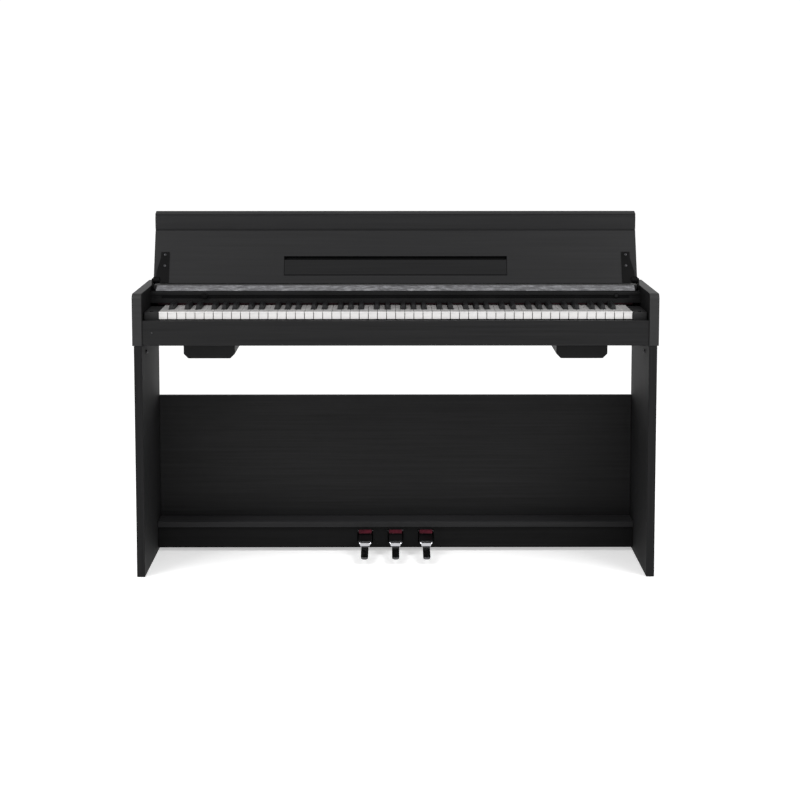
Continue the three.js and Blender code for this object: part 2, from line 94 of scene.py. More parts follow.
# Keyboard, as the frame has it.
WHITE_COUNT = 52
KEY_COUNT = 88
KEY_PITCH = 23.5 * MM
KEY_GAP = 1.0 * MM
BLACK_SLOT = 15.5 * MM
SHARP_SHIFT = {
    "c_sharp": -2.5 * MM, "d_sharp": 2.5 * MM,
    "f_sharp": -3.5 * MM, "g_sharp": 0.0, "a_sharp": 3.5 * MM,
}
SCALE = ["c", "c_sharp", "d", "d_sharp", "e", "f", "f_sharp", "g", "g_sharp", "a", "a_sharp", "b"]
FIRST_NOTE = 9
SINGLE_OCTAVE = 4
KEY_GROUPS = {"a0_to_b1": (0, 1), "c2_to_b3": (2, 3), "c5_to_b6": (5, 6), "c7_to_c8": (7, 8)}

# The pocket that the music ledge folds into, in the lid's own frame.
POCKET_LOW = 12.5 * MM
POCKET_HIGH = 66.5 * MM
POCKET_DEPTH = 8.0 * MM

# The lid's lean at rest, and its hinges.
LID_LEAN = math.radians(23.5)
STRAP_MIDDLE = 616 * MM
STRAP_FACE = 4.3 * MM
STRAP_SCREW_HEIGHTS = (70 * MM, 39 * MM)
KNUCKLE_START = 628.7 * MM

# Fasteners and the lamp.
REAR_LEG_BOLT_Y = 100 * MM
BACK_PANEL_SCREW_Z = 76.5 * MM
LAMP_Z = 638 * MM
REAR_SCREW_RADIUS = 3.4 * MM

# Heights of the felts and of the plate under the pedals.
SLOT_FELT_LOW = 48.5 * MM
SLOT_FELT_HIGH = 59.6 * MM
PEDAL_COVER_LOW = 10.5 * MM
PEDAL_COVER_HIGH = 12.5 * MM


# ---------------------------------------------------------------- materials
def grey(value):
    """A grey with the slightest blue cast, as black finishes have."""
    return (value, value, value * 1.05)


class Nodes:
    """One material's node tree, with short calls for the nodes that these materials share."""

    def __init__(self, name):
        self.material = bpy.data.materials.new(name)
        self.material.use_nodes = True
        self.tree = self.material.node_tree
        self.shader = self.tree.nodes["Principled BSDF"]
        self.place = self.tree.nodes.new("ShaderNodeTexCoord").outputs["Object"]

    def link(self, source, target):
        self.tree.links.new(source, target)

    def stretch(self, scale):
        node = self.tree.nodes.new("ShaderNodeMapping")
        node.inputs["Scale"].default_value = scale
        self.link(self.place, node.inputs["Vector"])
        return node.outputs["Vector"]

    def noise(self, vector, scale, detail=4.0, rough=0.55):
        node = self.tree.nodes.new("ShaderNodeTexNoise")
        node.inputs["Scale"].default_value = scale
        node.inputs["Detail"].default_value = detail
        node.inputs["Roughness"].default_value = rough
        self.link(vector, node.inputs["Vector"])
        return node.outputs["Fac"]

    def cells(self, vector, scale, feature="F1"):
        node = self.tree.nodes.new("ShaderNodeTexVoronoi")
        node.feature = feature
        node.inputs["Scale"].default_value = scale
        self.link(vector, node.inputs["Vector"])
        return node.outputs["Distance"]

    def ramp(self, value, stops):
        node = self.tree.nodes.new("ShaderNodeValToRGB")
        ramp = node.color_ramp
        while len(ramp.elements) < len(stops):
            ramp.elements.new(0.5)
        for element, (place, colour) in zip(ramp.elements, stops):
            element.position = place
            element.color = (*colour, 1)
        self.link(value, node.inputs["Fac"])
        return node.outputs["Color"]

    def span(self, value, low, high, start=0.3, end=0.7):
        node = self.tree.nodes.new("ShaderNodeMapRange")
        node.inputs["From Min"].default_value = start
        node.inputs["From Max"].default_value = end
        node.inputs["To Min"].default_value = low
        node.inputs["To Max"].default_value = high
        self.link(value, node.inputs["Value"])
        return node.outputs["Result"]

    def blend(self, share, a, b, mode="MIX"):
        node = self.tree.nodes.new("ShaderNodeMix")
        node.data_type = "RGBA"
        node.blend_type = mode
        self.feed(share, node.inputs["Factor"])
        self.feed(a, node.inputs[6])
        self.feed(b, node.inputs[7])
        return node.outputs[2]

    def feed(self, value, socket):
        if isinstance(value, bpy.types.NodeSocket):
            self.link(value, socket)
        elif isinstance(value, tuple):
            socket.default_value = (*value, 1)
        else:
            socket.default_value = value

    def add(self, a, b, share=1.0):
        node = self.tree.nodes.new("ShaderNodeMath")
        node.operation = "MULTIPLY_ADD"
        self.link(b, node.inputs[0])
        node.inputs[1].default_value = share
        self.link(a, node.inputs[2])
        return node.outputs["Value"]

    def bump(self, height, strength, distance):
        node = self.tree.nodes.new("ShaderNodeBump")
        node.inputs["Strength"].default_value = strength
        node.inputs["Distance"].default_value = distance
        self.link(height, node.inputs["Height"])
        self.link(node.outputs["Normal"], self.shader.inputs["Normal"])

    def colour(self, output):
        self.link(output, self.shader.inputs["Base Color"])

    def roughness(self, output):
        self.link(output, self.shader.inputs["Roughness"])

    def fixed(self, **values):
        for name, value in values.items():
            self.shader.inputs[name.replace("_", " ")].default_value = value


def board_material(name, grain, dark, light, specular, rough):
    """Black foil pressed with a fine wood grain. grain is small along the board and large across it."""
    n = Nodes(name)
    middle = (dark + light) / 2
    along = n.stretch(grain)
    streaks = n.noise(along, 1.0, 6.0, 0.62)
    pores = n.noise(along, 4.2, 3.0, 0.7)
    cloud = n.noise(n.place, 2.3, 3.0, 0.5)
    tone = n.ramp(streaks, [(0.32, grey(dark)), (0.5, grey(middle)), (0.68, grey(light))])
    n.colour(n.blend(n.span(cloud, 0.0, 0.30), tone, grey(light)))
    n.roughness(n.span(n.add(cloud, pores, 0.5), rough - 0.07, rough + 0.07, 0.55, 0.95))
    n.bump(n.add(streaks, pores, 0.6), 0.2, 0.0003)
    n.fixed(Specular_IOR_Level=specular)
    return n.material


def plastic_material(name, dark, light, rough, specular=0.4, grain=900.0, depth=0.00012):
    """Moulded plastic with a spark-eroded surface."""
    n = Nodes(name)
    cloud = n.noise(n.place, 5.0, 3.0)
    n.colour(n.ramp(cloud, [(0.35, grey(dark)), (0.65, grey(light))]))
    fine = n.noise(n.place, grain, 2.0)
    n.roughness(n.span(n.add(cloud, fine, 0.4), rough - 0.06, rough + 0.07, 0.5, 0.9))
    n.bump(fine, 0.25, depth)
    n.fixed(Specular_IOR_Level=specular)
    return n.material


def speckled_cloth():
    """Grey speaker cloth: a fine weave with light and dark threads in clumps."""
    n = Nodes("grille_cloth")
    threads = n.cells(n.place, 900.0)
    clumps = n.noise(n.stretch((1.0, 2.6, 2.6)), 42.0, 6.0, 0.75)
    wide = n.noise(n.place, 5.5, 4.0, 0.6)
    base = n.ramp(clumps, [(0.36, grey(0.055)), (0.5, grey(0.145)), (0.62, grey(0.32))])
    shade = n.blend(n.span(wide, 0.0, 0.5), base, grey(0.18))
    n.colour(n.blend(n.span(threads, 0.55, 0.0, 0.0, 0.8), shade, (0.02, 0.02, 0.02)))
    n.bump(n.add(threads, clumps, 0.4), 0.6, 0.0006)
    n.fixed(Roughness=0.95, Specular_IOR_Level=0.25)
    return n.material


def felt_material(name, dark, light):
    """Wool felt with fine fibres and soft tufts."""
    n = Nodes(name)
    fibres = n.noise(n.stretch((1.0, 1.0, 1.4)), 620.0, 6.0, 0.7)
    tufts = n.noise(n.place, 70.0, 4.0)
    n.colour(n.ramp(n.add(tufts, fibres, 0.5), [(0.5, dark), (0.95, light)]))
    n.bump(fibres, 0.8, 0.0006)
    n.fixed(Roughness=0.97, Specular_IOR_Level=0.15, Sheen_Weight=0.1, Sheen_Roughness=0.5)
    return n.material


def white_key_material():
    """Warm white acrylic, faintly satin, a little different from key to key along the keyboard."""
    n = Nodes("white_key")
    drift = n.noise(n.stretch((1.0, 0.15, 0.15)), 9.0, 3.0)
    n.colour(n.ramp(drift, [(0.35, (0.765, 0.752, 0.748)), (0.65, (0.82, 0.806, 0.80))]))
    fine = n.noise(n.place, 1300.0, 2.0)
    smear = n.noise(n.stretch((1.0, 0.3, 1.0)), 60.0, 4.0)
    n.roughness(n.span(smear, 0.16, 0.28))
    n.bump(fine, 0.06, 0.00005)
    n.fixed(Specular_IOR_Level=0.5, Coat_Weight=0.8, Coat_Roughness=0.12)
    return n.material


def black_key_material():
    """Matt black key tops with a fine lengthways grain, like ebony."""
    n = Nodes("black_key")
    grain = n.noise(n.stretch((320.0, 22.0, 120.0)), 1.0, 5.0, 0.65)
    n.colour(n.ramp(grain, [(0.35, (0.004, 0.004, 0.0045)), (0.68, (0.012, 0.012, 0.013))]))
    n.roughness(n.span(grain, 0.34, 0.5))
    n.bump(grain, 0.2, 0.00018)
    n.fixed(Specular_IOR_Level=0.22)
    return n.material


def metal_material(name, dark, light, rough, spread, brush):
    """Metal with fine brushing along X and soft smudges."""
    n = Nodes(name)
    lines = n.noise(n.stretch(brush), 1.0, 4.0, 0.6)
    smudge = n.noise(n.place, 24.0, 3.0)
    n.colour(n.ramp(smudge, [(0.35, grey(dark)), (0.65, grey(light))]))
    n.roughness(n.span(n.add(smudge, lines, 0.5), rough, rough + spread, 0.5, 1.0))
    n.bump(lines, 0.05, 0.00005)
    n.fixed(Metallic=1.0)
    return n.material


def coated_steel(name, dark, light, specular):
    """Black powder-coated steel with an orange-peel skin."""
    n = Nodes(name)
    peel = n.noise(n.place, 420.0, 3.0)
    cloud = n.noise(n.place, 16.0, 3.0)
    n.colour(n.ramp(cloud, [(0.35, grey(dark)), (0.65, grey(light))]))
    n.roughness(n.span(n.add(cloud, peel, 0.4), 0.42, 0.56, 0.5, 0.9))
    n.bump(peel, 0.35, 0.00018)
    n.fixed(Specular_IOR_Level=specular)
    return n.material


def circuit_material():
    """Green solder mask with lighter tracks."""
    n = Nodes("circuit_board")
    tracks = n.cells(n.place, 160.0, "DISTANCE_TO_EDGE")
    n.colour(n.ramp(tracks, [(0.03, (0.03, 0.20, 0.08)), (0.08, (0.008, 0.08, 0.03))]))
    n.bump(tracks, 0.2, 0.0001)
    n.fixed(Roughness=0.4)
    return n.material


def floor_material():
    """Seamless white paper that lifts its own shadows a little."""
    n = Nodes("pale_floor")
    cloud = n.noise(n.place, 0.8, 3.0)
    n.colour(n.ramp(cloud, [(0.3, (0.93, 0.93, 0.93)), (0.7, (0.96, 0.96, 0.96))]))
    n.fixed(Roughness=0.8, Specular_IOR_Level=0.1)
    n.fixed(Emission_Color=(1.0, 1.0, 1.0, 1.0), Emission_Strength=0.45)
    return n.material


GRAIN_X = (3.0, 150.0, 150.0)
GRAIN_Z = (150.0, 150.0, 3.0)
BRUSHED = (900.0, 90.0, 900.0)
LOOKS = {
    "board": board_material("black_foil", GRAIN_X, 0.0050, 0.0100, 0.16, 0.60),
    # A darker copy of the foil for the front board under the shelf: painted shade from the shelf's overhang.
    "kick": board_material("black_foil_kick_painted_shade", GRAIN_X, 0.0022, 0.0046, 0.09, 0.60),
    "leg": board_material("black_foil_upright", GRAIN_Z, 0.0050, 0.0100, 0.13, 0.72),
    # A lighter, glossier copy of the foil for the arms: painted light on their tops and fronts.
    "arm": board_material("black_foil_arm", GRAIN_X, 0.0090, 0.0160, 0.30, 0.58),
    # A darker copy of the foil for the arms' inner faces: painted shade.
    "arm_inside_painted_shade": board_material("black_foil_arm_inside_painted_shade", GRAIN_X, 0.0030, 0.0060, 0.08, 0.64),
    # Lighter copies of the foil for the pedal shelf, and lighter still for its top: painted light from above
    # and the front.
    "shelf": board_material("black_foil_shelf", GRAIN_X, 0.0110, 0.0160, 0.14, 0.60),
    "shelf_top_painted_light": board_material("black_foil_shelf_top_painted_light", GRAIN_X, 0.0260, 0.0360, 0.14, 0.60),
    # A lighter copy of the foil for the lid and its nose: painted light on the leaning lid.
    "lid": board_material("black_foil_lid_painted_light", GRAIN_X, 0.0105, 0.0140, 0.16, 0.60),
    "ledge": board_material("black_foil_ledge", GRAIN_X, 0.0070, 0.0100, 0.12, 0.62),
    "plastic": plastic_material("black_plastic", 0.0045, 0.0085, 0.50, 0.13),
    "block": plastic_material("key_block_plastic", 0.0090, 0.0150, 0.42, 0.34),
    "gloss": plastic_material("gloss_black_panel", 0.0025, 0.0045, 0.40, 0.04),
    # A darker plastic for hollows: painted shade in the lid's pocket and inside the pedal box.
    "recess": plastic_material("recess_painted_shade", 0.0022, 0.0040, 0.70, 0.05),
    "rubber": plastic_material("black_rubber", 0.0060, 0.0110, 0.80, 0.15, 500.0),
    "cloth": speckled_cloth(),
    "felt": felt_material("red_felt", (0.030, 0.004, 0.008), (0.11, 0.012, 0.024)),
    # A much darker copy of the red felt for the strip behind the keys: painted shade under the fascia.
    "key_felt": felt_material("red_felt_painted_shade", (0.006, 0.0015, 0.0022), (0.026, 0.004, 0.007)),
    "white": white_key_material(),
    "black": black_key_material(),
    "chrome": metal_material("polished_chrome", 0.66, 0.78, 0.05, 0.10, (8.0, 500.0, 500.0)),
    # A darker copy of the chrome for the pedals' fingers: painted dark reflection.
    "painted_reflection": metal_material("dark_painted_reflection", 0.07, 0.11, 0.16, 0.12, (8.0, 500.0, 500.0)),
    "zinc": metal_material("zinc_plate", 0.42, 0.60, 0.22, 0.18, BRUSHED),
    "screw": metal_material("blackened_steel", 0.045, 0.08, 0.32, 0.20, BRUSHED),
    "steel": coated_steel("coated_steel", 0.005, 0.010, 0.14),
    "hinge": coated_steel("coated_hinge_steel", 0.0016, 0.0034, 0.06),
    "circuit": circuit_material(),
}


# ---------------------------------------------------------------- mesh helpers
def piece(name, mesh, look, body, smooth_angle=35.0):
    """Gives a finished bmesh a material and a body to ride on."""
    bmesh.ops.recalc_face_normals(mesh, faces=mesh.faces)
    data = bpy.data.meshes.new(name)
    mesh.to_mesh(data)
    mesh.free()
    data.shade_smooth()
    data.set_sharp_from_angle(angle=math.radians(smooth_angle))
    made = bpy.data.objects.new(name, data)
    bpy.context.scene.collection.objects.link(made)
    data.materials.append(LOOKS[look])
    flatten(made)
    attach(made, body)
    return made


def flatten(made):
    """Lets large faces keep their own normals, so that an eased edge doesn't shade the face beside it."""
    made.modifiers.new("flat_faces", "WEIGHTED_NORMAL").keep_sharp = True


def body_of(node):
    return frame["nodes"][node]["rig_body"]


def soften(mesh, width, segments=2, angle=28.0):
    """Rounds every edge sharper than angle."""
    limit = math.radians(angle)
    sharp = [e for e in mesh.edges if len(e.link_faces) == 2 and e.calc_face_angle(0.0) > limit]
    bmesh.ops.bevel(mesh, geom=sharp, offset=width, segments=segments, profile=0.5, affect="EDGES",
                    clamp_overlap=True)


def finished_board(node, look, width=1.2 * MM, segments=2):
    """The CAD board again as a clean mesh with eased edges, standing for its node."""
    mesh = bmesh.new()
    mesh.from_mesh(frame["nodes"][node].data)
    bmesh.ops.remove_doubles(mesh, verts=mesh.verts, dist=1e-6)
    bmesh.ops.dissolve_limit(mesh, angle_limit=math.radians(0.5), verts=mesh.verts, edges=mesh.edges)
    soften(mesh, width, segments)
    made = piece(f"{node}_finish", mesh, look, body_of(node))
    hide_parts(node)
    return made


def repaint(made, look, wanted):
    """Gives another look to the faces whose middle and normal pass wanted(middle, normal)."""
    made.data.materials.append(LOOKS[look])
    for face in made.data.polygons:
        if wanted(face.center, face.normal):
            face.material_index = len(made.data.materials) - 1


def keep_node(node, look):
    """A CAD node that keeps its own shape, with its finished material."""
    data = frame["nodes"][node].data
    data.materials.clear()
    data.materials.append(LOOKS[look])


def loft(mesh, rings):
    """Closed skin through rings of points, all with the same count."""
    loops = [[mesh.verts.new(p) for p in ring] for ring in rings]
    count = len(rings[0])
    for low, high in zip(loops, loops[1:]):
        for i in range(count):
            j = (i + 1) % count
            mesh.faces.new((low[i], low[j], high[j], high[i]))
    mesh.faces.new(loops[0][::-1])
    mesh.faces.new(loops[-1])
    return mesh


def turned(mesh, profile, place, turn=None, sides=24):
    """A round piece: profile is (radius, height) pairs from the bottom."""
    matrix = Matrix.Translation(place) @ (turn or Matrix.Identity(4))
    return loft(mesh, [[matrix @ p for p in circle(r, h, sides)] for r, h in profile])


def circle(radius, height, sides):
    """Points around a circle about the Z axis."""
    around = [2 * math.pi * i / sides for i in range(sides)]
    return [Vector((radius * math.cos(a), radius * math.sin(a), height)) for a in around]


def block(mesh, low, high, width=0.0, segments=2):
    """A box between two corners, with its edges rounded by width."""
    part = bmesh.new()
    bmesh.ops.create_cube(part, size=1.0)
    size = Vector(high) - Vector(low)
    middle = (Vector(high) + Vector(low)) / 2
    for v in part.verts:
        v.co = Vector(v.co[i] * size[i] + middle[i] for i in range(3))
    if width:
        edges = part.edges[:]
        bmesh.ops.bevel(part, geom=edges, offset=width, segments=segments, profile=0.5, affect="EDGES")
    merge(mesh, part)
    return mesh


def merge(mesh, part):
    """Copies part's faces into mesh."""
    data = bpy.data.meshes.new("part")
    part.to_mesh(data)
    part.free()
    mesh.from_mesh(data)
    bpy.data.meshes.remove(data)


def sweep_x(mesh, profile, low, high):
    """A (depth, height) profile swept along X."""
    rings = [[(x, y, z) for y, z in profile] for x in (low, high)]
    return loft(mesh, rings)


def inset(points, amount):
    """A closed plan outline moved inwards by amount; points run anticlockwise."""
    moved = []
    count = len(points)
    for i, here in enumerate(points):
        back = Vector(here) - Vector(points[i - 1])
        ahead = Vector(points[(i + 1) % count]) - Vector(here)
        n1 = Vector((-back.y, back.x)).normalized()
        n2 = Vector((-ahead.y, ahead.x)).normalized()
        both = (n1 + n2).normalized()
        moved.append(Vector(here) + both * amount / max(0.35, both.dot(n1)))
    return moved


def rounded(points, radii, steps=3):
    """A closed plan outline with its corners rounded, each by its own radius."""
    out = []
    count = len(points)
    for i, (here, radius) in enumerate(zip(points, radii)):
        here = Vector(here)
        if radius <= 0:
            out.append(here)
            continue
        a = (Vector(points[i - 1]) - here).normalized() * radius
        b = (Vector(points[(i + 1) % count]) - here).normalized() * radius
        for s in range(steps + 1):
            t = s / steps
            out.append(here + a * (1 - t) ** 2 + b * t ** 2)
    return out


def ring_at(points, z):
    return [(p[0], p[1], z) for p in points]


def drill(made, place, radius, turn, depth):
    """Cuts a round hole of the given depth through a finished piece, about the turned Z axis at place."""
    data = bpy.data.meshes.new("drill")
    mesh = turned(bmesh.new(), [(radius, -depth / 2), (radius, depth / 2)], place, turn, 48)
    bmesh.ops.recalc_face_normals(mesh, faces=mesh.faces)
    mesh.to_mesh(data)
    mesh.free()
    tool = bpy.data.objects.new("drill", data)
    bpy.context.scene.collection.objects.link(tool)
    made.modifiers.clear()
    cutter = made.modifiers.new("hole", "BOOLEAN")
    cutter.object = tool
    cutter.operation = "DIFFERENCE"
    bpy.context.view_layer.update()
    graph = bpy.context.evaluated_depsgraph_get()
    made.data = bpy.data.meshes.new_from_object(made.evaluated_get(graph))
    made.modifiers.clear()
    made.data.set_sharp_from_angle(angle=math.radians(25.0))
    flatten(made)
    bpy.data.objects.remove(tool)
    bpy.data.meshes.remove(data)


# ---------------------------------------------------------------- stand and case
def build_boards():
    for node in ("left_leg_panel", "right_leg_panel"):
        finished_board(node, "leg", 1.4 * MM, 3)
    for word, side in SIDES.items():
        arm = finished_board(f"{word}_arm", "arm", 1.6 * MM, 3)
        # Painted light and shade on the arms: the inner faces take a darker copy of the foil, the outer faces
        # the plain foil, and the tops and fronts keep the lighter arm foil.
        repaint(arm, "arm_inside_painted_shade", lambda middle, normal, inward=-side: normal.x * inward > 0.9)
        repaint(arm, "board", lambda middle, normal, outward=side: normal.x * outward > 0.9)
        build_arm_joint(word)
    shelf = finished_board("pedal_shelf", "shelf", 1.0 * MM)
    # The shelf's upward faces take the lightest foil: painted light.
    repaint(shelf, "shelf_top_painted_light", lambda middle, normal: normal.z > 0.9)
    for node in ("back_panel", "keybed", "key_slip", "top_cover", "rear_cover"):
        finished_board(node, "board", 1.0 * MM)
    # The front board takes the darker foil: painted shade under the shelf.
    finished_board("pedal_box_front", "kick", 1.0 * MM)
    for node in ("left_key_block", "right_key_block"):
        finished_board(node, "block", 2.0 * MM, 3)
    finished_board("grille_strip", "cloth", 0.8 * MM)
    # The felt behind the keys takes the darker felt: painted shade.
    finished_board("key_felt_strip", "key_felt", 0.6 * MM)


def build_arm_joint(word):
    """A hidden rail in the top of a leg and the bottom of its arm, which closes the joint to light."""
    leg_low, leg_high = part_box(f"{word}_leg_panel")
    arm_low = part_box(f"{word}_arm")[0]
    inset_by, depth = 3 * MM, 4 * MM
    rail = bmesh.new()
    block(rail, (leg_low.x + inset_by, leg_low.y + inset_by, leg_high.z - depth),
          (leg_high.x - inset_by, leg_high.y - inset_by, arm_low.z + depth))
    piece(f"{word}_arm_joint", rail, "board", "stand")


def build_pedal_box_cover():
    """A plate under the pedal pivots, from the front board to the back panel, in the dark recess plastic: a
    dark sheet that stands for the painted shade inside the pedal box.
    """
    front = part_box("pedal_box_front")[1].y
    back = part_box("back_panel")[0].y
    low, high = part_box("pedal_bracket")
    margin = 20 * MM
    plate = bmesh.new()
    block(plate, (low.x - margin, front - 1 * MM, PEDAL_COVER_LOW),
          (high.x + margin, back + 1 * MM, PEDAL_COVER_HIGH))
    # The plate takes the darker recess plastic: painted shade inside the pedal box.
    piece("pedal_box_cover", plate, "recess", "stand")


def build_fascia():
    """The control panel behind the keys: two proud lips with a darker band set back between them."""
    low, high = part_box("fascia_panel")
    front = low.y
    back = high.y
    band = [
        (back, high.z), (front + 2.5 * MM, high.z), (front + 2.5 * MM, high.z - 3.5 * MM),
        (front - 0.5 * MM, high.z - 4.2 * MM), (front - 0.9 * MM, high.z - 5.0 * MM),
        (front - 0.9 * MM, high.z - 10.2 * MM), (front - 0.3 * MM, high.z - 11.0 * MM),
        (front + 1.6 * MM, high.z - 11.2 * MM), (front + 1.6 * MM, high.z - 19.6 * MM),
        (front - 0.2 * MM, high.z - 20.2 * MM), (front - 1.0 * MM, high.z - 21.0 * MM),
        (front - 1.6 * MM, low.z + 1.6 * MM), (front - 0.6 * MM, low.z), (back, low.z),
    ]
    made = piece("fascia_finish", sweep_x(bmesh.new(), band, low.x, high.x), "plastic", "stand", 25.0)
    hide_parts("fascia_panel")
    button_low, button_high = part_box("power_button")
    drill(made, (button_low + button_high) / 2, 5.4 * MM, FACE_FRONT, 60 * MM)
    strip = bmesh.new()
    block(strip, (low.x + 30 * MM, front + 0.9 * MM, high.z - 19.2 * MM),
          (high.x - 30 * MM, front + 1.7 * MM, high.z - 11.6 * MM), 0.3 * MM)
    piece("fascia_band", strip, "gloss", "stand")


def build_lid():
    # The lid and its nose take the lighter foil: painted light.
    panel = finished_board("lid_panel", "lid", 0.5 * MM)
    upright = lid_matrix().inverted()
    near = 0.1 * MM

    def in_pocket(middle, normal):
        place = upright @ middle
        return POCKET_LOW - near < place.z < POCKET_HIGH + near and 0.0 < place.y < POCKET_DEPTH + near

    # The pocket's faces take the darker recess plastic: painted shade.
    repaint(panel, "recess", in_pocket)
    finished_board("lid_nose", "lid", 0.6 * MM)
    finished_board("music_rest", "ledge", 0.4 * MM)
    for word in SIDES:
        finished_board(f"{word}_hinge_strap", "hinge", 0.35 * MM)
        finished_board(f"{word}_hinge_plate", "hinge", 0.4 * MM)


# ---------------------------------------------------------------- keys
def lay_out_keys():
    """Every key from the left: name, octave, whether it is black, and the X of its middle."""
    left = -WHITE_COUNT * KEY_PITCH / 2
    keys = []
    whites = 0
    for i in range(KEY_COUNT):
        note = SCALE[(i + FIRST_NOTE) % len(SCALE)]
        octave = (i + FIRST_NOTE) // len(SCALE)
        black = note in SHARP_SHIFT
        x = left + whites * KEY_PITCH + SHARP_SHIFT[note] if black else left + (whites + 0.5) * KEY_PITCH
        keys.append({"name": f"{note}{octave}", "octave": octave, "black": black, "x": x})
        whites += 0 if black else 1
    return keys


def key_body(key):
    if key["octave"] == SINGLE_OCTAVE:
        return f"key_{key['name']}"
    colour = "black" if key["black"] else "white"
    label = next(k for k, (first, last) in KEY_GROUPS.items() if first <= key["octave"] <= last)
    return f"{colour}_keys_{label}"


def white_key(key, blacks, low, high):
    """A white key with a thin overhanging top, rounded front corners and a set-back front face."""
    half = (KEY_PITCH - KEY_GAP) / 2
    reach = {-1: half, 1: half}
    for black in blacks:
        gap = black["x"] - key["x"]
        if abs(gap) < KEY_PITCH:
            reach[1 if gap > 0 else -1] = abs(gap) - BLACK_SLOT / 2
    x, shoulder = key["x"], low.y + 49 * MM
    points = [(x - half, low.y), (x + half, low.y), (x + half, shoulder), (x + reach[1], shoulder),
              (x + reach[1], high.y), (x - reach[-1], high.y), (x - reach[-1], shoulder),
              (x - half, shoulder)]
    radii = [1.3 * MM, 1.3 * MM, 0.5 * MM, 0.8 * MM if reach[1] < half else 0.0, 0.0, 0.0,
             0.8 * MM if reach[-1] < half else 0.0, 0.5 * MM]
    for side, corner in ((1, 2), (-1, 7)):
        if reach[side] >= half:
            radii[corner] = 0.0
    plan = drop_repeats(rounded(points, radii))
    top = high.z
    front = low.y + 3 * MM
    under = []
    for across, deep in plan:
        inward = 0.3 * MM if across < x else -0.3 * MM
        under.append((across + inward, deep + (1.4 * MM if deep < front else 0.0)))
    rings = [ring_at(under, low.z), ring_at(under, top - 3.0 * MM), ring_at(plan, top - 2.6 * MM),
             ring_at(plan, top - 0.8 * MM), ring_at(inset(plan, 0.25 * MM), top - 0.25 * MM),
             ring_at(inset(plan, 0.8 * MM), top)]
    return loft(bmesh.new(), rings)


def drop_repeats(points, near=0.05 * MM):
    """Leaves out points that stand on the one before them or in line between their neighbours."""
    apart = [p for i, p in enumerate(points) if (Vector(p) - Vector(points[i - 1])).length > near]
    kept = []
    count = len(apart)
    for i, p in enumerate(apart):
        a = Vector(p) - Vector(apart[i - 1])
        b = Vector(apart[(i + 1) % count]) - Vector(p)
        if abs(a.x * b.y - a.y * b.x) > 1e-4 * a.length * b.length:
            kept.append(p)
    return kept


def black_key(key, low, high):
    """A black key: tapered sides, a sloping front and a softly crowned top, with a low tail behind."""
    x = key["x"]
    front, back, top = low.y, low.y + 94 * MM, high.z
    shape = [(low.z, 6.2, 0.0), (top - 14 * MM, 6.2, 0.0), (top - 9 * MM, 6.0, 1.0),
             (top - 4.5 * MM, 5.5, 3.0), (top - 1.8 * MM, 5.1, 5.4), (top - 0.6 * MM, 4.6, 7.2),
             (top, 3.7, 9.2)]
    rings = []
    for z, half, slope in shape:
        half, y = half * MM, front + slope * MM
        end = back - (0.4 * MM if z > top - 2 * MM else 0.0)
        corners = [(x - half, y), (x + half, y), (x + half, end), (x - half, end)]
        rings.append(ring_at(rounded(corners, [1.4 * MM, 1.4 * MM, 0.5 * MM, 0.5 * MM], 4), z))
    mesh = loft(bmesh.new(), rings)
    block(mesh, (x - 5.0 * MM, back - 1.0 * MM, top - 18 * MM),
          (x + 5.0 * MM, high.y, top - 11.5 * MM), 0.4 * MM)
    return mesh


def build_keys():
    keys = lay_out_keys()
    blacks = [k for k in keys if k["black"]]
    white_low, white_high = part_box("key_c4")
    black_low, black_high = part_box("key_c_sharp4")
    stands_for = set()
    for key in keys:
        body = key_body(key)
        if key["black"]:
            mesh = black_key(key, black_low, black_high)
        else:
            mesh = white_key(key, blacks, white_low, white_high)
        made = piece(f"key_{key['name']}_top", mesh, "black" if key["black"] else "white", body, 38.0)
        if body not in stands_for:
            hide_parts(body)
            stands_for.add(body)


# ---------------------------------------------------------------- pedals
def pedal_section(depth, wide, narrow, bottom, top, ease, x):
    """One cross-section of a pedal: a bar with rounded corners, wide on top and narrow below."""
    ease = min(ease, narrow * 0.9, (top - bottom) * 0.45)
    steps = 6
    points = []
    for across, up, start in ((1, 1, 0.0), (-1, 1, 0.5), (-1, -1, 1.0), (1, -1, 1.5)):
        corner_x = x + across * ((wide if up > 0 else narrow) - ease)
        corner_z = (top if up > 0 else bottom) - up * ease
        for i in range(steps + 1):
            a = math.pi * (start + 0.5 * i / steps)
            points.append((corner_x + ease * math.cos(a), depth, corner_z + ease * math.sin(a)))
    return points


def smooth_step(t):
    t = min(1.0, max(0.0, t))
    return t * t * (3 - 2 * t)


def quarter_round(t):
    """Rises from 0 to 1 along a quarter circle, steeply at first."""
    t = min(1.0, max(0.0, t))
    return math.sqrt(1 - (1 - t) ** 2)


